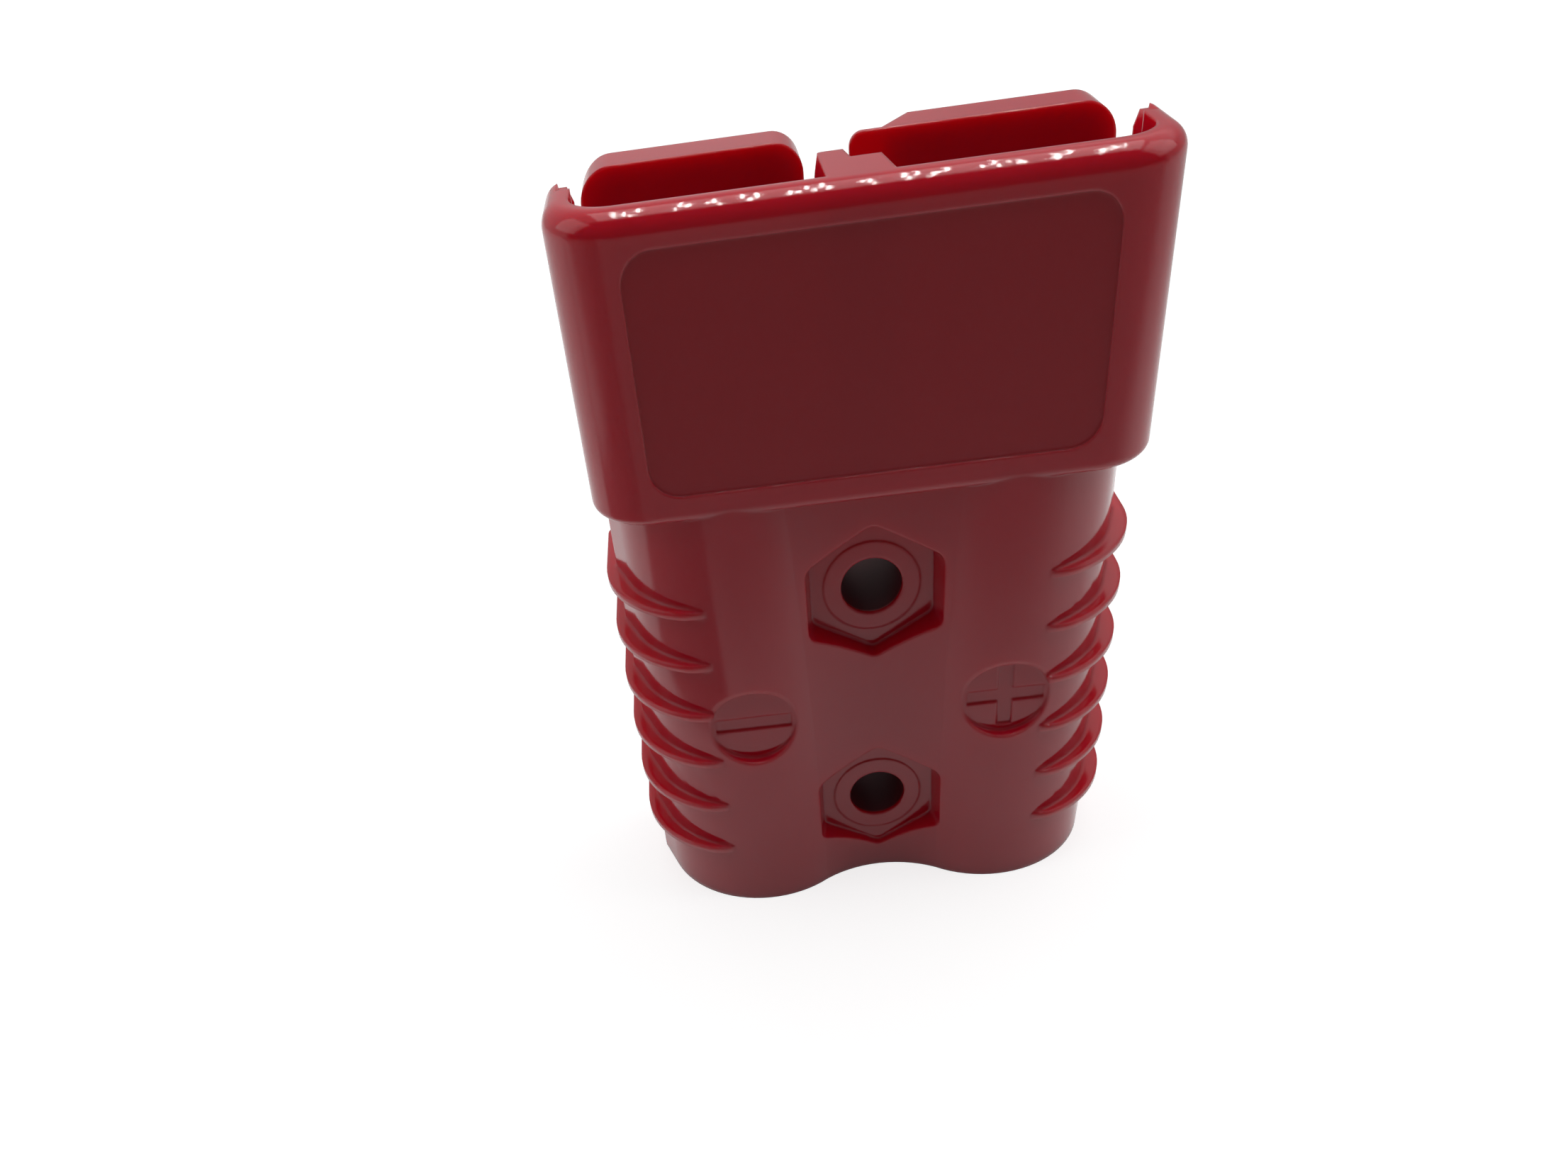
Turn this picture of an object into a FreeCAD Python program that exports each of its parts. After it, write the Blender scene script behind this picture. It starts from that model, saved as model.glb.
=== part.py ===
import FreeCAD, Part
import math
import os
import Sketcher

# Genderless two-pole power connector: one moulded housing, two crimp contacts
# and the leaf spring behind each of them. Millimetres, +Z towards the mating
# end, z = 0 at the cable end, y = 0 on the mid-plane that both halves share.

doc = FreeCAD.newDocument("connector")

# Driving dimensions
sheet = doc.addObject("Spreadsheet::Sheet", "dims")
SIZES = [
    ("pole_offset", 14.1, "conductor centre from the middle"),
    ("half_depth", 12.5, "front face of the hood from the mid-plane"),
    ("hood_half_width", 28.0, "hood side from the middle"),
    ("hood_corner", 6.6, "front corners of the hood"),
    ("hood_wall", 2.6, "hood front wall"),
    ("hood_side_wall", 2.7, "hood side walls"),
    ("hood_low", 51.75, "lower edge of the hood"),
    ("rim_z", 80.1, "mating rim"),
    ("floor_z", 54.0, "floor of the mating space"),
    ("rim_round", 2.0, "outer rounding of the rim"),
    ("hem_round", 1.0, "rounding of the hood's lower edge"),
    ("tip_round", 1.1, "rounding of the side wall tips"),
    ("tip_step_x", 26.5, "outer end of the step in a side wall tip"),
    ("tip_step_y", 2.6, "length of that step"),
    ("tip_step_z", 79.65, "height of that step"),
    ("tip_step_drop", 1.3, "fall of that step at the inside of the wall"),
    ("tip_step_run", 0.45, "width of that fall"),
    ("barrel_r", 12.45, "conductor barrel outside"),
    ("flank_angle", 20.0, "where the barrel runs out to the side ridge"),
    ("valley_low", 8.24, "half thickness of the web at the cable end"),
    ("valley_high", 9.85, "half thickness of the web at the hood"),
    ("web_bite", 0.03, "how far the web's hollows reach into the barrels"),
    ("rib_count", 6.0, "grip ribs on a side"),
    ("rib_first", 8.7, "top of the lowest rib"),
    ("rib_pitch", 6.55, "rib to rib"),
    ("rib_thick", 0.8, "rib thickness"),
    ("rib_arc_centre", 15.8, "centre of the rib's front arc"),
    ("rib_arc_r", 12.7, "rib front arc"),
    ("rib_side", 28.5, "flat side of the ribs"),
    ("rib_back", 10.0, "back edge of the ribs"),
    ("rib_tail_angle", 65.0, "where the rib's nose turns in"),
    ("rib_nose_r", 5.0, "rib nose"),
    ("rib_back_corner", 2.0, "back corner of the ribs"),
    ("rib_hidden", 9.5, "how far forward a rib runs inside its barrel"),
    ("bore_r", 7.8, "cable entry"),
    ("bore_depth", 45.5, "cable entry depth"),
    ("bore_lead", 0.8, "lead-in of the cable entry"),
    ("slot_half", 7.6, "half width of the blade slot"),
    ("slot_low", 44.0, "where the blade slot meets the cable entry"),
    ("tongue_front", 3.4, "front face of the tongues"),
    ("tongue_back", 8.2, "back face of the tongues"),
    ("left_tongue_out", 25.05, "outer edge of the left tongue"),
    ("left_tongue_in", 4.0, "inner edge of the left tongue"),
    ("right_tongue_out", 24.9, "outer edge of the right tongue"),
    ("ear_edge", 0.3, "inner edge of the thin ear"),
    ("ear_back", 4.0, "back face of the thin ear"),
    ("ear_root", 3.4, "where the ear meets the right tongue"),
    ("ear_slope_end", 6.4, "end of the slanted root at the back"),
    ("ear_round", 1.3, "corner of the ear"),
    ("tongue_round_out", 3.2, "outer corner of a tongue"),
    ("tongue_round_in", 2.7, "inner corner of the left tongue"),
    ("tongue_round_back", 2.5, "outer back edge of a tongue"),
    ("key_left", 3.7, "left flank of the key at the wall"),
    ("key_left_top", 3.55, "left flank of the key at its back"),
    ("key_right", 2.8, "right flank of the key at the wall"),
    ("key_right_top", 2.2, "right flank of the key at its back"),
    ("key_deep_y", 1.8, "back of the deep half of the key"),
    ("key_flat_y", 4.6, "back of the flat half of the key"),
    ("key_step_a", 0.85, "step of the key, deep side"),
    ("key_step_b", 0.5, "step of the key, flat side"),
    ("key_round", 1.0, "corner of the key"),
    ("key_lead", 3.15, "left edge of the key at the rim"),
    ("key_lead_low", 77.7, "where its slanted lead-in ends"),
    ("panel_half", 21.52, "half width of the label panel"),
    ("panel_low", 54.6, "lower edge of the label panel"),
    ("panel_high", 77.0, "upper edge of the label panel"),
    ("panel_round", 3.0, "corners of the label panel"),
    ("panel_deep", 0.2, "depth of the label panel"),
    ("hole_r", 3.3, "mounting hole"),
    ("hole_low_z", 11.1, "lower mounting hole"),
    ("hole_spacing", 28.6, "mounting holes apart"),
    ("hex_floor", 7.58, "floor of the nut pockets from the mid-plane"),
    ("hex_half", 6.6, "half across the flats at the floor"),
    ("hex_round", 1.0, "corners of the nut pockets"),
    ("hex_draft", 12.0, "slope of the nut pocket walls"),
    ("ring_r", 5.2, "raised ring round the hole"),
    ("ring_high", 0.15, "height of that ring"),
    ("counter_r", 6.75, "round recess at the back of a hole"),
    ("mark_z", 26.15, "centre height of the polarity marks"),
    ("mark_r", 4.8, "round field of a polarity mark"),
    ("mark_floor", 11.3, "floor of that field from the mid-plane"),
    ("mark_deep", 0.25, "depth of a sign"),
    ("mark_half", 4.3, "half length of a sign"),
    ("mark_bar", 1.65, "thickness of a sign's bar"),
    ("mark_rise", 3.9, "half height of the plus"),
    ("crimp_r", 7.15, "crimp barrel outside"),
    ("crimp_bore", 5.5, "crimp barrel inside"),
    ("crimp_low", 16.0, "lower end of the crimp barrel"),
    ("crimp_deep", 24.0, "depth of the crimp barrel"),
    ("crimp_high", 41.5, "upper end of the crimp barrel"),
    ("blade_half", 7.05, "half width of the blade"),
    ("blade_thick", 2.2, "blade thickness"),
    ("blade_top", 72.0, "tip of the blade"),
    ("hook_half", 5.0, "half width of the hook"),
    ("hook_low", 70.2, "underside of the hook"),
    ("hook_back", 3.2, "back of the hook"),
    ("tip_lead", 0.9, "lead-in of the blade tip"),
    ("spring_half", 5.0, "half width of the leaf spring"),
    ("spring_thick", 0.5, "leaf spring thickness"),
    ("spring_low", 49.5, "lower end of the spring"),
    ("spring_high", 69.5, "upper end of the spring"),
]
for row, (alias, value, meaning) in enumerate(SIZES, start=1):
    sheet.set("A%d" % row, meaning)
    sheet.set("B%d" % row, "%g" % value)
    sheet.setAlias("B%d" % row, alias)
doc.recompute()


def size(expression):
    """Value of an expression in the sheet's names."""
    return float(sheet.evalExpression(expression))


def new_body(name):
    body = doc.addObject("PartDesign::Body", name)
    body.Label = name
    return body


def new_sketch(body, name, role, lift):
    """Sketch on an origin plane of its own body, lifted along the normal."""
    plane = [f for f in body.Origin.OriginFeatures if f.Role == role][0]
    sketch = body.newObject("Sketcher::SketchObject", name)
    sketch.AttachmentSupport = (plane, [""])
    sketch.MapMode = "FlatFace"
    sketch.setExpression("AttachmentOffset.Base.z", lift)
    return sketch


def hold(sketch, kind, refs, expression):
    """Dimension of a sketch, tied to the sheet."""
    index = sketch.addConstraint(
        Sketcher.Constraint(kind, *refs, size(expression))
    )
    sketch.renameConstraint(index, "d%d" % index)
    sketch.setExpression("Constraints.d%d" % index, expression)


def pin_point(sketch, geo, end, x, y):
    hold(sketch, "DistanceX", (-1, 1, geo, end), x)
    hold(sketch, "DistanceY", (-1, 1, geo, end), y)


def outline(body, name, role, lift, corners, flip=1):
    """Closed outline. A corner is (x, y, bend): bend None for a straight edge
    to the next corner, or (turn, radius) for an arc, turn +1 being to the left."""
    sketch = new_sketch(body, name, role, lift)
    points = [FreeCAD.Vector(size(x), size(y), 0) for x, y, bend in corners]
    ends = []
    for i, (x, y, bend) in enumerate(corners):
        p = points[i]
        q = points[(i + 1) % len(points)]
        if bend is None:
            geo = sketch.addGeometry(Part.LineSegment(p, q), False)
            ends.append((geo, 1, 2))
            continue
        turn = bend[0] * flip
        radius = size(bend[1])
        chord = q - p
        rise = math.sqrt(max(radius ** 2 - (chord.Length / 2) ** 2, 0.0))
        left = FreeCAD.Vector(-chord.y, chord.x, 0).normalize()
        centre = (p + q) * 0.5 + left * (turn * rise)
        start, stop = (p, q) if turn > 0 else (q, p)
        a0 = math.atan2(start.y - centre.y, start.x - centre.x)
        a1 = math.atan2(stop.y - centre.y, stop.x - centre.x)
        circle = Part.Circle(centre, FreeCAD.Vector(0, 0, 1), radius)
        geo = sketch.addGeometry(Part.ArcOfCircle(circle, a0, a1), False)
        ends.append((geo, 1, 2) if turn > 0 else (geo, 2, 1))
    for i, (geo, first, last) in enumerate(ends):
        following = ends[(i + 1) % len(ends)]
        joint = (geo, last, following[0], following[1])
        sketch.addConstraint(Sketcher.Constraint("Coincident", *joint))
        pin_point(sketch, geo, first, corners[i][0], corners[i][1])
        if corners[i][2] is not None:
            hold(sketch, "Radius", (geo,), corners[i][2][1])
    return sketch


def round_box(left, right, low, high, low_r, high_r):
    """Corners of a box with rounded lower and upper corners."""
    corners = []
    if low_r:
        corners += [
            ("%s + %s" % (left, low_r), low, None),
            ("%s - %s" % (right, low_r), low, (1, low_r)),
            (right, "%s + %s" % (low, low_r), None),
        ]
    else:
        corners += [(left, low, None), (right, low, None)]
    if high_r:
        corners += [
            (right, "%s - %s" % (high, high_r), (1, high_r)),
            ("%s - %s" % (right, high_r), high, None),
            ("%s + %s" % (left, high_r), high, (1, high_r)),
            (left, "%s - %s" % (high, high_r), None),
        ]
    else:
        corners += [(right, high, None), (left, high, None)]
    if low_r:
        corners.append((left, "%s + %s" % (low, low_r), (1, low_r)))
    return corners


def disc(body, name, role, lift, x, y, radius):
    """Round sketch."""
    sketch = new_sketch(body, name, role, lift)
    where = FreeCAD.Vector(size(x), size(y), 0)
    circle = Part.Circle(where, FreeCAD.Vector(0, 0, 1), size(radius))
    geo = sketch.addGeometry(circle, False)
    pin_point(sketch, geo, 3, x, y)
    hold(sketch, "Radius", (geo,), radius)
    return sketch


def pad(body, name, sketch, length, back=False, middle=False):
    feature = body.newObject("PartDesign::Pad", name)
    feature.Profile = sketch
    feature.setExpression("Length", length)
    feature.Reversed = back
    if middle:
        feature.SideType = "Symmetric"
    sketch.Visibility = False
    return feature


def pocket(body, name, sketch, length, back=False, draft=None):
    feature = body.newObject("PartDesign::Pocket", name)
    feature.Profile = sketch
    feature.setExpression("Length", length)
    feature.Reversed = back
    if draft:
        feature.setExpression("TaperAngle", draft)
    sketch.Visibility = False
    return feature


def loft(body, name, low, high):
    feature = body.newObject("PartDesign::AdditiveLoft", name)
    feature.Profile = low
    feature.Sections = [high]
    feature.Ruled = True
    return feature


def soften(body, kind, name, base, radius, chosen):
    """Fillet or chamfer of the edges that pass a test."""
    doc.recompute()
    names = []
    for i, edge in enumerate(base.Shape.Edges, start=1):
        if chosen(edge):
            names.append("Edge%d" % i)
    feature = body.newObject("PartDesign::" + kind, name)
    feature.Base = (base, names)
    feature.setExpression("Radius" if kind == "Fillet" else "Size", radius)
    return feature


def at_height(edge, z):
    box = edge.BoundBox
    return abs(box.ZMin - z) < 0.01 and abs(box.ZMax - z) < 0.01


# Housing: hood round the mating space, with its rolled rim and hem
housing = new_body("housing")
hood_sketch = outline(
    housing, "HoodPlan", "XY_Plane", "dims.hood_low",
    round_box("-dims.hood_half_width", "dims.hood_half_width",
              "-dims.half_depth", "0", "dims.hood_corner", None))
hood = pad(housing, "Hood", hood_sketch, "dims.rim_z - dims.hood_low")


def hood_edge(z):
    return lambda e: at_height(e, z) and e.BoundBox.YMin < -0.01


rim = soften(housing, "Fillet", "RimRound", hood, "dims.rim_round",
             hood_edge(size("dims.rim_z")))
hem = soften(housing, "Fillet", "HemRound", rim, "dims.hem_round",
             hood_edge(size("dims.hood_low")))

# Outer rounding of the side wall tips
SIDES = {-1: "Left", 1: "Right"}


def round_back_corner(name, side, edge, back, radius, depth):
    """Rounds the outer back corner of what stands there, from the rim down."""
    edge_x = "%d * (%s)" % (side, edge)
    start_x = "%d * (%s - %s)" % (side, edge, radius)
    clear_x = "%d * (%s + 1)" % (side, edge)
    start_y = "%s - %s" % (back, radius)
    clear_y = "%s + 1" % back
    corners = [
        (edge_x, start_y, (1, radius)),
        (start_x, back, None),
        (start_x, clear_y, None),
        (clear_x, clear_y, None),
        (clear_x, start_y, None),
    ]
    sketch = outline(housing, name + "Plan", "XY_Plane", "dims.rim_z", corners,
                     flip=side)
    return pocket(housing, name, sketch, depth)


for side, word in SIDES.items():
    round_back_corner(word + "Tip", side, "dims.hood_half_width", "0", "dims.tip_round",
                      "dims.rim_z - dims.hood_low")


# Two conductor barrels, each running out to a ridge at its side
flank_x = "(dims.pole_offset + dims.barrel_r * cos(dims.flank_angle * 1 deg))"
flank_y = "(dims.barrel_r * sin(dims.flank_angle * 1 deg))"
ridge_x = "(dims.pole_offset + dims.barrel_r / cos(dims.flank_angle * 1 deg))"
for side, word in SIDES.items():
    barrel_corners = [
        ("%d * %s" % (side, flank_x), "-" + flank_y, None),
        ("%d * %s" % (side, ridge_x), "0", None),
        ("%d * %s" % (side, flank_x), flank_y, (1, "dims.barrel_r")),
        ("%d * (dims.pole_offset - dims.barrel_r)" % side, "0", (1, "dims.barrel_r")),
    ]
    barrel_sketch = outline(housing, word + "BarrelPlan", "XY_Plane", "0",
                            barrel_corners, flip=side)
    pad(housing, word + "Barrel", barrel_sketch, "dims.floor_z")


# Web between the barrels, a little thicker at the hood, hollowed front and back
def web_section(name, lift, valley):
    touch_r = "(dims.barrel_r - dims.web_bite)"
    spare = "(%s - %s)" % (touch_r, valley)
    far = "((dims.pole_offset ^ 2 - %s ^ 2) / (2 * %s))" % (spare, spare)
    reach = "sqrt(dims.pole_offset ^ 2 + %s ^ 2)" % far
    valley_r = "(%s - %s)" % (reach, touch_r)
    meet_x = "(dims.pole_offset * (1 - %s / %s))" % (touch_r, reach)
    meet_y = "(%s * %s / %s)" % (far, touch_r, reach)
    dip = (-1, valley_r)
    corners = [
        ("-" + meet_x, "-" + meet_y, dip),
        (meet_x, "-" + meet_y, None),
        (meet_x, meet_y, dip),
        ("-" + meet_x, meet_y, None),
    ]
    return outline(housing, name, "XY_Plane", lift, corners)


cable_end = web_section("CableEndSection", "0", "dims.valley_low")
hood_end = web_section("HoodEndSection", "dims.floor_z", "dims.valley_high")
loft(housing, "Web", cable_end, hood_end)

# Mating space inside the hood, open to the back
inner_r = "(dims.hood_corner - dims.hood_wall)"
space_half = "(dims.hood_half_width - dims.hood_side_wall)"
space_front = "(dims.hood_wall - dims.half_depth)"
space_corners = [
    ("%s - %s" % (inner_r, space_half), space_front, None),
    ("%s - %s" % (space_half, inner_r), space_front, (1, inner_r)),
    (space_half, "%s + %s" % (space_front, inner_r), None),
    (space_half, "1", None),
    ("-" + space_half, "1", None),
    ("-" + space_half, "%s + %s" % (space_front, inner_r), (1, inner_r)),
]
space_sketch = outline(housing, "MatingSpacePlan", "XY_Plane", "dims.rim_z",
                       space_corners)
pocket(housing, "MatingSpace", space_sketch, "dims.rim_z - dims.floor_z")

# Step at the inner edge of each side wall tip
step_low = "dims.tip_step_z - dims.tip_step_drop"
for side, word in SIDES.items():
    step_corners = [
        ("%d * (%s - 0.5)" % (side, space_half), step_low, None),
        ("%d * %s" % (side, space_half), step_low, None),
        ("%d * (%s + dims.tip_step_run)" % (side, space_half), "dims.tip_step_z", None),
        ("%d * dims.tip_step_x" % side, "dims.tip_step_z", None),
        ("%d * (dims.tip_step_x + 0.1)" % side, "dims.rim_z + 0.1", None),
        ("%d * (%s - 0.5)" % (side, space_half), "dims.rim_z + 0.1", None),
    ]
    step_sketch = outline(housing, word + "StepOutline", "XZ_Plane", "dims.tip_step_y",
                          step_corners, flip=side)
    pocket(housing, word + "Step", step_sketch, "dims.tip_step_y + 0.1")

# Coding key on the inside of the hood, flush with the rim
key_corners = [
    ("-dims.key_left", "dims.hood_wall - dims.half_depth - 0.5", None),
    ("dims.key_right", "dims.hood_wall - dims.half_depth - 0.5", None),
    ("dims.key_right_top", "-dims.key_flat_y", None),
    ("-dims.key_step_b", "-dims.key_flat_y", None),
    ("-dims.key_step_a", "-dims.key_deep_y", None),
    ("dims.key_round - dims.key_left_top", "-dims.key_deep_y", (1, "dims.key_round")),
    ("-dims.key_left_top", "-dims.key_deep_y - dims.key_round", None),
]
key_sketch = outline(housing, "KeyPlan", "XY_Plane", "dims.floor_z - 1", key_corners)
pad(housing, "Key", key_sketch, "dims.rim_z - dims.floor_z + 1")
lead_corners = [
    ("-dims.key_lead", "dims.rim_z", None),
    ("-dims.key_lead", "dims.rim_z + 1", None),
    ("-dims.key_left - 1", "dims.rim_z + 1", None),
    ("-dims.key_left - 1", "dims.key_lead_low", None),
    ("-dims.key_left", "dims.key_lead_low", None),
]
lead_sketch = outline(housing, "KeyLeadOutline", "XZ_Plane", "dims.key_deep_y - 1",
                      lead_corners)
pocket(housing, "KeyLead", lead_sketch,
       "dims.half_depth - dims.hood_wall - dims.key_deep_y + 1", back=True)

# Tongues that back the contacts
tongue_depth = "dims.tongue_back - dims.tongue_front"
tongue_foot = "dims.floor_z - 1"
left_corners = [
    ("-dims.left_tongue_out", tongue_foot, None),
    ("-dims.left_tongue_in", tongue_foot, None),
    ("-dims.left_tongue_in", "dims.rim_z - dims.tongue_round_in",
     (1, "dims.tongue_round_in")),
    ("-dims.left_tongue_in - dims.tongue_round_in", "dims.rim_z", None),
    ("dims.tongue_round_out - dims.left_tongue_out", "dims.rim_z",
     (1, "dims.tongue_round_out")),
    ("-dims.left_tongue_out", "dims.rim_z - dims.tongue_round_out", None),
]
left_sketch = outline(housing, "LeftTongueFace", "XZ_Plane", "-dims.tongue_front",
                      left_corners)
pad(housing, "LeftTongue", left_sketch, tongue_depth, back=True)
right_corners = [
    ("dims.ear_edge", tongue_foot, None),
    ("dims.right_tongue_out", tongue_foot, None),
    ("dims.right_tongue_out", "dims.rim_z - dims.tongue_round_out",
     (1, "dims.tongue_round_out")),
    ("dims.right_tongue_out - dims.tongue_round_out", "dims.rim_z", None),
    ("dims.ear_edge + dims.ear_round", "dims.rim_z", (1, "dims.ear_round")),
    ("dims.ear_edge", "dims.rim_z - dims.ear_round", None),
]
right_sketch = outline(housing, "RightTongueFace", "XZ_Plane", "-dims.tongue_front",
                       right_corners)
pad(housing, "RightTongue", right_sketch, tongue_depth, back=True)
ear_corners = [
    ("dims.ear_edge - 1", "dims.ear_back", None),
    ("dims.ear_root", "dims.ear_back", None),
    ("dims.ear_slope_end", "dims.tongue_back", None),
    ("dims.ear_slope_end", "dims.tongue_back + 1", None),
    ("dims.ear_edge - 1", "dims.tongue_back + 1", None),
]
ear_sketch = outline(housing, "EarRelief", "XY_Plane", "dims.rim_z", ear_corners)
pocket(housing, "Ear", ear_sketch, "dims.rim_z - dims.floor_z")
for side, word in SIDES.items():
    round_back_corner(word + "TongueBack", side, "dims.%s_tongue_out" % word.lower(),
                      "dims.tongue_back", "dims.tongue_round_back",
                      "dims.rim_z - dims.floor_z")

# Bare label panel
panel_sketch = outline(
    housing, "PanelOutline", "XZ_Plane", "dims.half_depth",
    round_box("-dims.panel_half", "dims.panel_half", "dims.panel_low",
              "dims.panel_high", "dims.panel_round", "dims.panel_round"))
pocket(housing, "Panel", panel_sketch, "dims.panel_deep")

# Grip ribs on both sides
tail_x = "(dims.rib_arc_centre + dims.rib_arc_r * cos(dims.rib_tail_angle * 1 deg))"
tail_y = "(dims.rib_arc_r * sin(dims.rib_tail_angle * 1 deg))"
nose_x = ("(dims.rib_arc_centre + (dims.rib_arc_r - dims.rib_nose_r)"
          " * cos(dims.rib_tail_angle * 1 deg))")
nose_y = "((dims.rib_arc_r - dims.rib_nose_r) * sin(dims.rib_tail_angle * 1 deg))"
nose_end = "110 deg"
ribs = []
for side, word in SIDES.items():
    def across(x):
        return "%d * (%s)" % (side, x)

    corners = [
        (across("dims.rib_side"), "0", None),
        (across("dims.rib_side"), "dims.rib_back - dims.rib_back_corner",
         (1, "dims.rib_back_corner")),
        (across("dims.rib_side - dims.rib_back_corner"), "dims.rib_back", None),
        (across("dims.pole_offset + 4"), "dims.rib_back", None),
        (across("dims.pole_offset + 2"), "-dims.rib_hidden", None),
        (across("%s + dims.rib_nose_r * cos(%s)" % (nose_x, nose_end)),
         "-(%s + dims.rib_nose_r * sin(%s))" % (nose_y, nose_end),
         (1, "dims.rib_nose_r")),
        (across(tail_x), "-" + tail_y, (1, "dims.rib_arc_r")),
    ]
    rib_sketch = outline(housing, word + "RibPlan", "XY_Plane",
                         "dims.rib_first - dims.rib_thick", corners, flip=side)
    ribs.append(pad(housing, word + "Rib", rib_sketch, "dims.rib_thick"))
rib_row = housing.newObject("PartDesign::LinearPattern", "RibRow")
rib_row.Originals = ribs
rib_row.Direction = (rib_sketch, ["N_Axis"])
rib_row.setExpression("Length", "(dims.rib_count - 1) * dims.rib_pitch")
rib_row.setExpression("Occurrences", "dims.rib_count")
housing.Tip = rib_row

# Cable entries, and the slots that carry the blades into the mating space
for side, word in SIDES.items():
    centre = "%d * dims.pole_offset" % side
    bore_sketch = disc(housing, word + "EntryPlan", "XY_Plane", "0", centre, "0",
                       "dims.bore_r")
    pocket(housing, word + "Entry", bore_sketch, "dims.bore_depth", back=True)
    slot_sketch = outline(
        housing, word + "SlotPlan", "XY_Plane", "dims.floor_z",
        round_box(centre + " - dims.slot_half", centre + " + dims.slot_half",
                  "0", "dims.tongue_front", None, None))
    slot = pocket(housing, word + "Slot", slot_sketch, "dims.floor_z - dims.slot_low")


def entry_mouth(edge):
    return at_height(edge, 0.0) and abs(edge.BoundBox.YMax - size("dims.bore_r")) < 0.01


soften(housing, "Chamfer", "EntryLead", slot, "dims.bore_lead", entry_mouth)

# Mounting holes through the web: nut pocket in front, round recess behind
hole_heights = {"Lower": "dims.hole_low_z", "Upper": "dims.hole_low_z + dims.hole_spacing"}
for word, height in hole_heights.items():
    bend_r = "((dims.hex_half - dims.hex_round) / cos(30 deg))"
    hex_corners = []
    for step in range(6):
        angle = 90 + 60 * step
        for end, bend in ((angle - 30, (1, "dims.hex_round")), (angle + 30, None)):
            hex_corners.append((
                "%s * cos(%d deg) + dims.hex_round * cos(%d deg)" % (bend_r, angle, end),
                "%s + %s * sin(%d deg) + dims.hex_round * sin(%d deg)"
                % (height, bend_r, angle, end), bend))
    hex_sketch = outline(housing, word + "NutOutline", "XZ_Plane", "dims.hex_floor",
                         hex_corners)
    pocket(housing, word + "NutPocket", hex_sketch, "6", back=True,
           draft="dims.hex_draft")
    ring_sketch = disc(housing, word + "RingOutline", "XZ_Plane", "dims.hex_floor - 1",
                       "0", height, "dims.ring_r")
    pad(housing, word + "Ring", ring_sketch, "dims.ring_high + 1")
    back_sketch = disc(housing, word + "BackRecessOutline", "XZ_Plane",
                       "-dims.hex_floor", "0", height, "dims.counter_r")
    pocket(housing, word + "BackRecess", back_sketch, "6")
    hole_sketch = disc(housing, word + "HoleOutline", "XZ_Plane", "dims.half_depth",
                       "0", height, "dims.hole_r")
    pocket(housing, word + "Hole", hole_sketch, "2 * dims.half_depth")

# Round fields on the barrels with the polarity signs
for side, word in SIDES.items():
    centre = "%d * dims.pole_offset" % side
    field_sketch = disc(housing, word + "FieldOutline", "XZ_Plane",
                        "dims.half_depth + 1", centre, "dims.mark_z", "dims.mark_r")
    pocket(housing, word + "Field", field_sketch,
           "dims.half_depth + 1 - dims.mark_floor")
    bar_sketch = outline(
        housing, word + "BarOutline", "XZ_Plane", "dims.mark_floor",
        round_box(centre + " - dims.mark_half", centre + " + dims.mark_half",
                  "dims.mark_z - dims.mark_bar / 2", "dims.mark_z + dims.mark_bar / 2",
                  None, None))
    pocket(housing, word + "Bar", bar_sketch, "dims.mark_deep")
post_sketch = outline(
    housing, "PostOutline", "XZ_Plane", "dims.mark_floor",
    round_box(centre + " - dims.mark_bar / 2", centre + " + dims.mark_bar / 2",
              "dims.mark_z - dims.mark_rise", "dims.mark_z + dims.mark_rise",
              None, None))
post = pocket(housing, "Post", post_sketch, "dims.mark_deep")
housing.Tip = post


# Contacts: crimp barrel, neck, flat blade and the hook that the spring holds
def contact(name, side):
    body = new_body(name)
    centre = "%d * dims.pole_offset" % side
    barrel_sketch = disc(body, name + "_BarrelPlan", "XY_Plane", "dims.crimp_low",
                         centre, "0", "dims.crimp_r")
    pad(body, name + "_Barrel", barrel_sketch, "dims.bore_depth - dims.crimp_low")
    for face, way, foot in (("Front", "-", "0"), ("Back", "", "dims.blade_thick")):
        neck_corners = [
            (way + "dims.crimp_r", "dims.crimp_high", None),
            (way + "(dims.crimp_r + 1)", "dims.crimp_high", None),
            (way + "(dims.crimp_r + 1)", "dims.bore_depth + 1", None),
            (foot, "dims.bore_depth + 1", None),
            (foot, "dims.bore_depth", None),
        ]
        neck_sketch = outline(body, name + "_Neck%sOutline" % face, "YZ_Plane",
                              centre + " + dims.crimp_r + 1", neck_corners)
        pocket(body, name + "_Neck" + face, neck_sketch, "2 * dims.crimp_r + 2")
    blade_sketch = outline(
        body, name + "_BladePlan", "XY_Plane", "dims.bore_depth",
        round_box(centre + " - dims.blade_half", centre + " + dims.blade_half",
                  "0", "dims.blade_thick", None, None))
    blade = pad(body, name + "_Blade", blade_sketch, "dims.blade_top - dims.bore_depth")
    tip = size("dims.blade_top")

    def front_tip(edge):
        return at_height(edge, tip) and edge.BoundBox.YMax < 0.01

    tip_lead = soften(body, "Fillet", name + "_TipLead", blade, "dims.tip_lead",
                      front_tip)
    hook_sketch = outline(
        body, name + "_HookPlan", "XY_Plane", "dims.hook_low",
        round_box(centre + " - dims.hook_half", centre + " + dims.hook_half",
                  "dims.blade_thick - 0.5", "dims.hook_back", None, None))
    pad(body, name + "_Hook", hook_sketch, "dims.blade_top - dims.hook_low")
    bore_sketch = disc(body, name + "_CrimpPlan", "XY_Plane", "dims.crimp_low",
                       centre, "0", "dims.crimp_bore")
    crimp = pocket(body, name + "_Crimp", bore_sketch, "dims.crimp_deep", back=True)
    body.Tip = crimp
    return body


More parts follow.
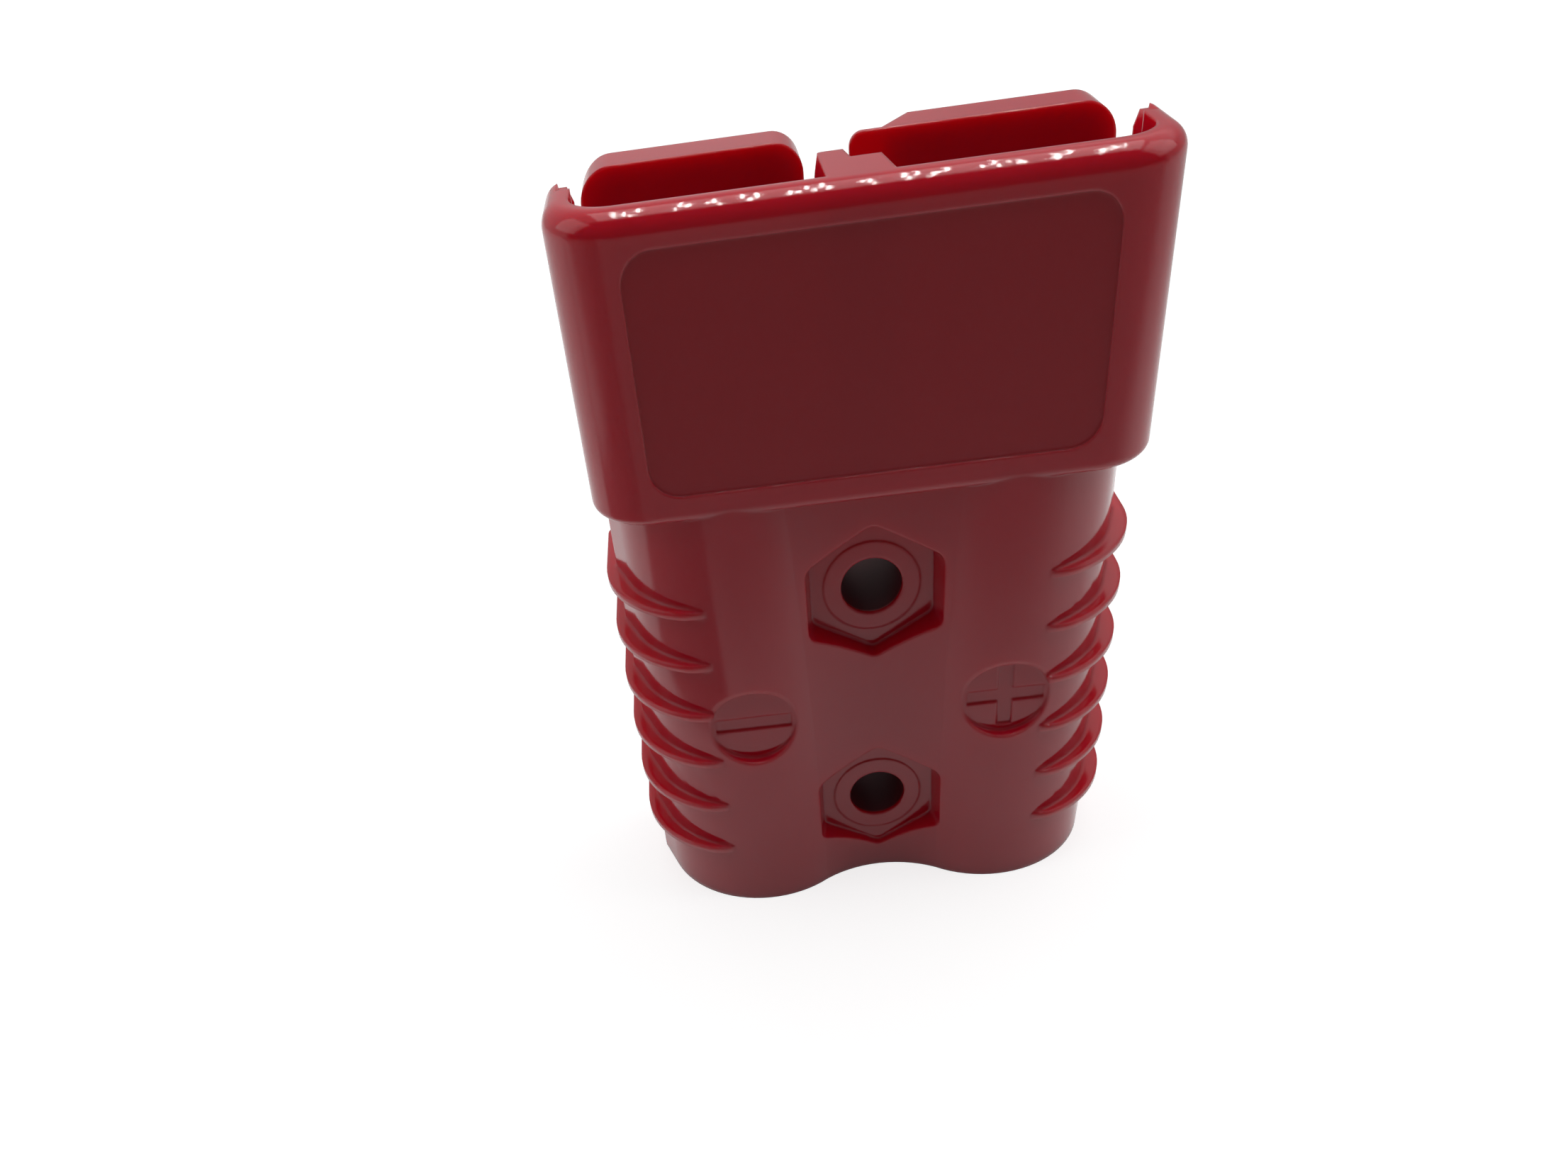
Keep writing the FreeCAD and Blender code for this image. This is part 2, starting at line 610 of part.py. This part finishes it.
# Leaf springs: bowed strips between a tongue and the back of its blade
def leaf_spring(name, side):
    body = new_body(name)
    half = "((dims.spring_high - dims.spring_low) / 2)"
    bow = "(dims.tongue_front - dims.blade_thick - dims.spring_thick)"
    inner = "((%s ^ 2 + %s ^ 2) / (2 * %s))" % (half, bow, bow)
    outer = "(%s + dims.spring_thick)" % inner
    drop = "(%s - sqrt(%s ^ 2 - %s ^ 2))" % (outer, outer, half)
    corners = [
        ("dims.tongue_front", "dims.spring_low", (-1, inner)),
        ("dims.tongue_front", "dims.spring_high", None),
        ("dims.blade_thick + " + drop, "dims.spring_high", (1, outer)),
        ("dims.blade_thick + " + drop, "dims.spring_low", None),
    ]
    sketch = outline(body, name + "_Profile", "YZ_Plane", "%d * dims.pole_offset" % side,
                     corners)
    body.Tip = pad(body, name + "_Strip", sketch, "2 * dims.spring_half", middle=True)
    return body


bodies = [housing]
for side, word in ((-1, "left"), (1, "right")):
    bodies.append(contact(word + "_contact", side))
    bodies.append(leaf_spring(word + "_spring", side))
doc.recompute()

# Checks and output
for item in doc.Objects:
    if "Invalid" in item.State or "Error" in item.State:
        raise RuntimeError("%s did not build" % item.Name)
os.makedirs("parts", exist_ok=True)
for body in bodies:
    shape = body.Shape
    if shape.isNull() or not shape.isValid() or len(shape.Solids) != 1:
        raise RuntimeError("%s is not one valid solid" % body.Label)
    shape.exportStep(os.path.join("parts", body.Label + ".step"))
    print(body.Label, "%.1f mm3" % shape.Volume)
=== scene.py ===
import bpy
import math
from mathutils import Matrix, Vector

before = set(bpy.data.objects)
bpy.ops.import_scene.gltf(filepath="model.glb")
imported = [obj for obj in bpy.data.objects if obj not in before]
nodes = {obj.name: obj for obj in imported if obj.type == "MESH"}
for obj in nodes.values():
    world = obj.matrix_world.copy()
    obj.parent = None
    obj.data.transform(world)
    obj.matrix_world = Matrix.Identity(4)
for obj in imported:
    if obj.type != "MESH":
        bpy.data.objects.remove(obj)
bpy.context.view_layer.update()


# Node helpers
class Graph:
    """A node tree under construction."""

    def __init__(self, tree):
        self.tree = tree
        tree.nodes.clear()

    def add(self, kind, **settings):
        node = self.tree.nodes.new(kind)
        for key, value in settings.items():
            setattr(node, key, value)
        return node

    def link(self, out, socket):
        self.tree.links.new(out, socket)

    def fill(self, socket, value):
        if isinstance(value, bpy.types.NodeSocket):
            self.link(value, socket)
        elif value is not None:
            socket.default_value = value

    def maths(self, operation, a, b=None, c=None, clamp=False):
        node = self.add("ShaderNodeMath", operation=operation, use_clamp=clamp)
        for socket, value in zip(node.inputs, (a, b, c)):
            self.fill(socket, value)
        return node.outputs[0]

    def times(self, a, b):
        return self.maths("MULTIPLY", a, b)

    def plus(self, a, b):
        return self.maths("ADD", a, b)

    def scaled(self, value, gain, base):
        return self.maths("MULTIPLY_ADD", value, gain, base)

    def step(self, value, low, high):
        """0 below low, 1 above high, smooth between. With low above high it falls."""
        node = self.add("ShaderNodeMapRange", interpolation_type="SMOOTHSTEP")
        self.fill(node.inputs["Value"], value)
        self.fill(node.inputs["From Min"], low)
        self.fill(node.inputs["From Max"], high)
        return node.outputs["Result"]

    def band(self, value, low, high, soft):
        """1 between low and high, 0 outside, with edges that are soft to either side."""
        rise = self.step(value, low - soft, low + soft)
        fall = self.step(value, high - soft, high + soft)
        return self.maths("SUBTRACT", rise, fall, clamp=True)

    def inside(self, axes, box, soft):
        """1 inside a box that is given as three (low, high) pairs."""
        x, y, z = [self.band(value, low, high, edge)
                   for value, (low, high), edge in zip(axes, box, soft)]
        return self.times(self.times(x, z), y)

    def axes(self, vector):
        node = self.add("ShaderNodeSeparateXYZ")
        self.link(vector, node.inputs[0])
        return tuple(node.outputs)

    def blend(self, factor, a, b):
        node = self.add("ShaderNodeMix", data_type="RGBA")
        self.fill(node.inputs[0], factor)
        self.fill(node.inputs[6], a)
        self.fill(node.inputs[7], b)
        return node.outputs[2]

    def noise(self, vector, scale, detail, rough=0.5):
        node = self.add("ShaderNodeTexNoise")
        self.link(vector, node.inputs["Vector"])
        node.inputs["Scale"].default_value = scale
        node.inputs["Detail"].default_value = detail
        node.inputs["Roughness"].default_value = rough
        return node.outputs["Fac"]

    def bump(self, height, strength, depth, normal=None):
        node = self.add("ShaderNodeBump")
        self.fill(node.inputs["Strength"], strength)
        node.inputs["Distance"].default_value = depth
        self.link(height, node.inputs["Height"])
        if normal is not None:
            self.link(normal, node.inputs["Normal"])
        return node.outputs[0]

    def surface(self, shader, kind="ShaderNodeOutputMaterial"):
        out = self.add(kind)
        self.link(shader, out.inputs["Surface"])


def material(name):
    mat = bpy.data.materials.new(name)
    mat.use_nodes = True
    return mat, Graph(mat.node_tree)


# The red moulding: its linear colours
BODY_DARK = (0.57, 0.005, 0.023, 1)
BODY_LIGHT = (0.64, 0.006, 0.027, 1)
PANEL_RED = (0.42, 0.010, 0.020, 1)
PANEL_SHARE = 0.6
# Painted shade: near-black red laid over the colour inside the mounting holes
HOLE_PAINTED_SHADE = (0.04, 0.004, 0.005, 1)
HOLE_SHADE_SHARE = 0.8
FLOW_SCALE = 55.0

# Its gloss
ROUGH = 0.10
ROUGH_FLOW = 0.05
ROUGH_PANEL = 0.35
ROUGH_HOLE = 0.5
RIM_POLISH = -0.75
PLASTIC_IOR = 1.55

# Light under its skin
UNDER_SKIN = 0.8
UNDER_SKIN_REACH = (1.0, 0.05, 0.07)
UNDER_SKIN_SCALE = 0.004

# Its faint waves and grain, both weaker on the rim
PEEL_SCALE = 420.0
PEEL_BUMP = 0.12
PEEL_RIM = -0.06
PEEL_DEPTH = 0.00004
GRAIN_SCALE = 1500.0
GRAIN_BUMP = 0.10
GRAIN_RIM = -0.09
GRAIN_DEPTH = 0.00003

# Rounding of its edges, larger on the ribs and round the polarity marks
EDGE_ROUND = 0.00045
EDGE_ROUND_MORE = 0.00030
EDGE_SAMPLES = 6

# Places on it, in metres
PANEL_BOX = ((-0.0216, 0.0216), (-0.01236, -0.0122), (0.0545, 0.0771))
PANEL_SOFT = (0.0001, 0.00002, 0.0001)
HOLE_BOX = ((-0.0034, 0.0034), (-0.0072, 0.0074), (0.0, 0.05))
HOLE_SOFT = (0.0001, 0.0003, 0.0005)
RIM_FROM_Z = (0.0770, 0.0780)
RIM_FROM_Y = (-0.0092, -0.0096)
RIBS_FROM_X = (0.0165, 0.0185)
RIBS_BELOW_Z = (0.0500, 0.0490)
DISC_X = 0.0141
DISC_Z = 0.02615
LEDGE_R = (0.0044, 0.0055)
LEDGE_SOFT = 0.0002
LEDGE_FROM_Y = (-0.009, -0.010)


def rounding(g, x, y, z):
    """Radius of the rounded edges."""
    from_middle = g.maths("ABSOLUTE", x)
    ribs = g.times(g.step(from_middle, *RIBS_FROM_X), g.step(z, *RIBS_BELOW_Z))
    disc_x = g.maths("SUBTRACT", from_middle, DISC_X)
    disc_z = g.maths("SUBTRACT", z, DISC_Z)
    reach = g.maths("SQRT", g.plus(g.times(disc_x, disc_x), g.times(disc_z, disc_z)))
    ledge = g.times(g.band(reach, *LEDGE_R, LEDGE_SOFT), g.step(y, *LEDGE_FROM_Y))
    return g.scaled(g.maths("MAXIMUM", ribs, ledge), EDGE_ROUND_MORE, EDGE_ROUND)


# Red moulded plastic: matt on the label panel, matt inside the mounting holes with painted
# shade darkening their colour, more polished on the rolled rim
def red_plastic():
    mat, g = material("red_plastic_moulded")
    place = g.add("ShaderNodeTexCoord").outputs["Object"]
    x, y, z = g.axes(place)
    panel = g.inside((x, y, z), PANEL_BOX, PANEL_SOFT)
    hole = g.inside((x, y, z), HOLE_BOX, HOLE_SOFT)
    rim = g.times(g.step(z, *RIM_FROM_Z), g.step(y, *RIM_FROM_Y))
    flow = g.noise(place, FLOW_SCALE, 3.0)
    grain = g.noise(place, GRAIN_SCALE, 3.0, 0.6)
    peel = g.noise(place, PEEL_SCALE, 2.0)
    colour = g.blend(flow, BODY_DARK, BODY_LIGHT)
    colour = g.blend(g.times(panel, PANEL_SHARE), colour, PANEL_RED)
    # painted shade inside the mounting holes
    colour = g.blend(g.times(hole, HOLE_SHADE_SHARE), colour, HOLE_PAINTED_SHADE)
    rough = g.plus(g.times(flow, ROUGH_FLOW), ROUGH)
    rough = g.plus(rough, g.times(panel, ROUGH_PANEL))
    rough = g.plus(rough, g.times(hole, ROUGH_HOLE))
    rough = g.times(rough, g.scaled(rim, RIM_POLISH, 1.0))
    shader = g.add("ShaderNodeBsdfPrincipled")
    g.link(colour, shader.inputs["Base Color"])
    g.link(rough, shader.inputs["Roughness"])
    shader.inputs["IOR"].default_value = PLASTIC_IOR
    shader.inputs["Subsurface Weight"].default_value = UNDER_SKIN
    shader.inputs["Subsurface Radius"].default_value = UNDER_SKIN_REACH
    shader.inputs["Subsurface Scale"].default_value = UNDER_SKIN_SCALE
    edge = g.add("ShaderNodeBevel", samples=EDGE_SAMPLES)
    g.link(rounding(g, x, y, z), edge.inputs["Radius"])
    waves = g.bump(peel, g.scaled(rim, PEEL_RIM, PEEL_BUMP), PEEL_DEPTH, edge.outputs[0])
    skin = g.bump(grain, g.scaled(rim, GRAIN_RIM, GRAIN_BUMP), GRAIN_DEPTH, waves)
    g.link(skin, shader.inputs["Normal"])
    g.surface(shader.outputs[0])
    return mat


# Bare metal with fine marks along one direction, for the plated contacts and the springs
SILVER = (0.82, 0.80, 0.76, 1)
STEEL = (0.55, 0.54, 0.53, 1)
CLOUD_DARK = 0.72
CLOUD_SCALE = 120.0
MARKS_SCALE = 700.0
MARKS_ROUGH = 0.2
MARKS_BUMP = 0.15
MARKS_DEPTH = 0.00005


def bare_metal(name, colour, rough, stretch):
    mat, g = material(name)
    place = g.add("ShaderNodeTexCoord").outputs["Object"]
    stretched = g.add("ShaderNodeMapping")
    stretched.inputs["Scale"].default_value = stretch
    g.link(place, stretched.inputs["Vector"])
    marks = g.noise(stretched.outputs[0], MARKS_SCALE, 4.0, 0.6)
    cloud = g.noise(place, CLOUD_SCALE, 3.0)
    dark = tuple(c * CLOUD_DARK for c in colour[:3]) + (1,)
    shader = g.add("ShaderNodeBsdfPrincipled")
    g.link(g.blend(cloud, dark, colour), shader.inputs["Base Color"])
    shader.inputs["Metallic"].default_value = 1.0
    g.link(g.plus(g.times(marks, MARKS_ROUGH), rough), shader.inputs["Roughness"])
    g.link(g.bump(marks, MARKS_BUMP, MARKS_DEPTH), shader.inputs["Normal"])
    g.surface(shader.outputs[0])
    return mat


def dress(node, mat):
    slots = nodes[node].material_slots
    if not slots:
        nodes[node].data.materials.append(mat)
    for item in slots:
        item.material = mat


dress("housing", red_plastic())
silver = bare_metal("silver_plate", SILVER, 0.18, (1.0, 1.0, 0.2))
steel = bare_metal("spring_steel", STEEL, 0.22, (0.15, 1.0, 1.0))
for side in ("left", "right"):
    dress(side + "_contact", silver)
    dress(side + "_spring", steel)


# The floor: white paper that keeps the object's shadow
FLOOR_HALF = 1.5
FLOOR_Z = -0.00002
PAPER = (0.42, 0.42, 0.42, 1)
FLOOR_SEEN = 0.78
FLOOR_SEEN_FAR = 0.16
FAR_FADE = (0.15, 0.60)

# Painted reflection: the floor glows in the object's gloss only, brightest near the object,
# with painted shade right beside it, to the front and to the far right, and a painted dark
# patch standing in for something dark to the front left. Distances are from the origin in
# metres, azimuths from the front in radians.
FLOOR_PAINTED_REFLECTION = 0.60
CONTACT_FADE = (0.008, 0.034)
CONTACT_PAINTED_SHADE = 0.70
FRONT_FADE = (-0.110, -0.024)
FRONT_PAINTED_SHADE = 0.25
RIGHT_FROM_X = (0.0, 0.03)
RIGHT_FADE = (0.12, 0.30)
RIGHT_LOSS = -0.45
DARK_WAY = (-0.729, -0.684)
DARK_FROM = (0.056, 0.062)
DARK_AZIMUTH = (-1.57, -0.58)
DARK_SOFT = 0.04
DARK_PATCH_PAINTED_SHADE = -0.88
BEYOND_X = (-0.150, -0.175)
BEYOND_AZIMUTH = (-1.6, -1.0)
BEYOND_SOFT = 0.2


def painted_floor_reflection(g, x, y, distance):
    """Painted reflection: how bright each place of the floor glows in the object's gloss,
    from 0 to 1, with painted shade.
    """
    # painted shade in the reflection close round the object's base
    contact = g.scaled(g.step(distance, *CONTACT_FADE), 1.0 - CONTACT_PAINTED_SHADE, CONTACT_PAINTED_SHADE)
    front = g.scaled(g.step(y, *FRONT_FADE), 1.0 - FRONT_PAINTED_SHADE, FRONT_PAINTED_SHADE)
    right = g.times(g.step(x, *RIGHT_FROM_X), g.step(distance, *RIGHT_FADE))
    level = g.times(g.times(contact, front), g.scaled(right, RIGHT_LOSS, 1.0))
    slant = g.plus(g.times(x, DARK_WAY[0]), g.times(y, DARK_WAY[1]))
    azimuth = g.maths("ARCTAN2", x, g.times(y, -1.0))
    # painted dark patch in the reflection to the front left
    dark = g.times(g.step(slant, *DARK_FROM), g.band(azimuth, *DARK_AZIMUTH, DARK_SOFT))
    beyond = g.times(g.step(x, *BEYOND_X), g.band(azimuth, *BEYOND_AZIMUTH, BEYOND_SOFT))
    dark = g.times(dark, g.scaled(beyond, -1.0, 1.0))
    return g.times(level, g.scaled(dark, DARK_PATCH_PAINTED_SHADE, 1.0))


def floor():
    mesh = bpy.data.meshes.new("floor")
    corners = ((-1, -1), (1, -1), (1, 1), (-1, 1))
    mesh.from_pydata([(i * FLOOR_HALF, j * FLOOR_HALF, FLOOR_Z) for i, j in corners],
                     [], [(0, 1, 2, 3)])
    plane = bpy.data.objects.new("floor", mesh)
    bpy.context.scene.collection.objects.link(plane)
    mat, g = material("pale_floor")
    place = g.add("ShaderNodeTexCoord").outputs["Object"]
    x, y, z = g.axes(place)
    length = g.add("ShaderNodeVectorMath", operation="LENGTH")
    g.link(place, length.inputs[0])
    distance = length.outputs["Value"]
    paper = g.add("ShaderNodeBsdfDiffuse")
    paper.inputs["Color"].default_value = PAPER
    path = g.add("ShaderNodeLightPath")
    far = g.scaled(g.step(distance, *FAR_FADE), FLOOR_SEEN_FAR, FLOOR_SEEN)
    seen = g.times(path.outputs["Is Camera Ray"], far)
    # painted reflection: the floor glows only for glossy rays
    gloss = g.times(painted_floor_reflection(g, x, y, distance), FLOOR_PAINTED_REFLECTION)
    painted_reflection = g.times(path.outputs["Is Glossy Ray"], gloss)
    glow = g.add("ShaderNodeEmission")
    g.link(g.plus(seen, painted_reflection), glow.inputs["Strength"])
    both = g.add("ShaderNodeAddShader")
    g.link(paper.outputs[0], both.inputs[0])
    g.link(glow.outputs[0], both.inputs[1])
    g.surface(both.outputs[0])
    mesh.materials.append(mat)


floor()

# The room: pale behind and overhead, darker in front, and white where the camera sees it
ROOM_PALE = 0.42
ROOM_DARK = 0.08
PALE_FROM_Y = (-0.30, -0.10)
RIGHT_FROM = (0.02, 0.28)
HIGH_FROM = (0.28, 0.50)
RIGHT_HIGH = 0.9
RIGHT_LOW = -0.4


def surroundings():
    world = bpy.data.worlds.new("room")
    bpy.context.scene.world = world
    world.use_nodes = True
    g = Graph(world.node_tree)
    x, y, z = g.axes(g.add("ShaderNodeTexCoord").outputs["Generated"])
    pale = g.step(y, *PALE_FROM_Y)
    right = g.step(x, *RIGHT_FROM)
    high = g.step(z, *HIGH_FROM)
    shade = g.times(right, g.scaled(high, RIGHT_HIGH, RIGHT_LOW))
    pale = g.times(pale, g.plus(shade, 1.0))
    level = g.plus(g.times(pale, ROOM_PALE), ROOM_DARK)
    path = g.add("ShaderNodeLightPath")
    level = g.maths("MAXIMUM", level, path.outputs["Is Camera Ray"])
    back = g.add("ShaderNodeBackground")
    back.inputs["Color"].default_value = (1, 1, 1, 1)
    g.link(level, back.inputs["Strength"])
    g.surface(back.outputs[0], "ShaderNodeOutputWorld")


surroundings()


def lamp(name, place, aim, size, power):
    light = bpy.data.lights.new(name, "AREA")
    light.shape = "RECTANGLE"
    light.size = size[0]
    light.size_y = size[1]
    light.energy = power
    thing = bpy.data.objects.new(name, light)
    bpy.context.scene.collection.objects.link(thing)
    thing.location = place
    turn = (Vector(aim) - Vector(place)).to_track_quat("-Z", "Y")
    thing.rotation_euler = turn.to_euler()
    return thing


SOFT_BOX = (0.50, 0.50)
lamp("overhead", (0.06, 0.12, 0.60), (0.06, 0.12, 0), SOFT_BOX, 1.0)
for way in (-1, 1):
    lamp("side_%d" % (way + 1), (way * 0.55, -0.02, 0.45), (0, 0, 0.04), SOFT_BOX, 0.55)

# Camera solved from the photograph, in metres, pixels and radians
IMAGE_W = 2212.0
IMAGE_H = 1659.0
FOCAL_PX = 1762.90
CENTRE_PX = (997.4, 1239.2)
EYE = (-0.014163, -0.126398, 0.109210)
YAW = -0.06773
PITCH = 0.74246
ROLL = -0.15311
SENSOR = 36.0

# Narrow ceiling strips that show as clusters of sparks along the rolled rim, in gloss only.
# Each runs away from the eye, so that its image stands upright on the rim.
CLUSTERS = 16
CLUSTER_FIRST = -0.0255
CLUSTER_PITCH = 0.0032
STRIPS = 3
STRIP_PITCH = 0.00060
STRIP_WIDE = 0.0013
STRIP_BRIGHT = 140.0
STRIP_Z = 0.58
RIM_Y = -0.0105
RIM_Z = 0.0785
EYE_TO_RIM = 0.120


def ceiling_x(on_rim, y):
    """x of the ceiling point at that depth whose image lies at x = on_rim on the rim."""
    span = math.hypot(y - RIM_Y, STRIP_Z - RIM_Z)
    return EYE[0] + (on_rim - EYE[0]) * (EYE_TO_RIM + span) / EYE_TO_RIM


def sparks():
    for i in range(CLUSTERS):
        middle = CLUSTER_FIRST + CLUSTER_PITCH * i + 0.0006 * math.sin(2.4 * i)
        for j in range(STRIPS):
            on_rim = middle + STRIP_PITCH * (j - 1) + 0.0001 * math.sin(5.1 * i + j)
            near = -0.02 + 0.09 * math.sin(1.7 * i + 2.1 * j)
            length = 0.08 + 0.06 * ((3 * i + 2 * j) % 4)
            start, end = ceiling_x(on_rim, near), ceiling_x(on_rim, near + length)
            x, y = (start + end) / 2, near + length / 2
            strip = lamp("spark_%02d_%d" % (i, j), (x, y, STRIP_Z), (x, y, 0),
                         (STRIP_WIDE, length), STRIP_BRIGHT * STRIP_WIDE * length)
            strip.rotation_euler.z -= math.atan2(end - start, length)
            strip.visible_diffuse = False


sparks()


def camera():
    ahead = Vector((math.sin(YAW) * math.cos(PITCH), math.cos(YAW) * math.cos(PITCH),
                    -math.sin(PITCH)))
    level = Vector((math.cos(YAW), -math.sin(YAW), 0.0))
    upward = level.cross(ahead)
    right = level * math.cos(ROLL) + upward * math.sin(ROLL)
    above = upward * math.cos(ROLL) - level * math.sin(ROLL)
    data = bpy.data.cameras.new("camera")
    data.sensor_fit = "HORIZONTAL"
    data.sensor_width = SENSOR
    data.lens = FOCAL_PX * SENSOR / IMAGE_W
    data.shift_x = (IMAGE_W / 2 - CENTRE_PX[0]) / IMAGE_W
    data.shift_y = (CENTRE_PX[1] - IMAGE_H / 2) / IMAGE_W
    data.clip_start = 0.005
    data.dof.use_dof = False
    cam = bpy.data.objects.new("camera", data)
    bpy.context.scene.collection.objects.link(cam)
    turn = Matrix((right, above, -ahead)).transposed()
    cam.matrix_world = Matrix.Translation(Vector(EYE)) @ turn.to_4x4()
    bpy.context.scene.camera = cam


camera()
bpy.context.scene.view_settings.view_transform = "Standard"
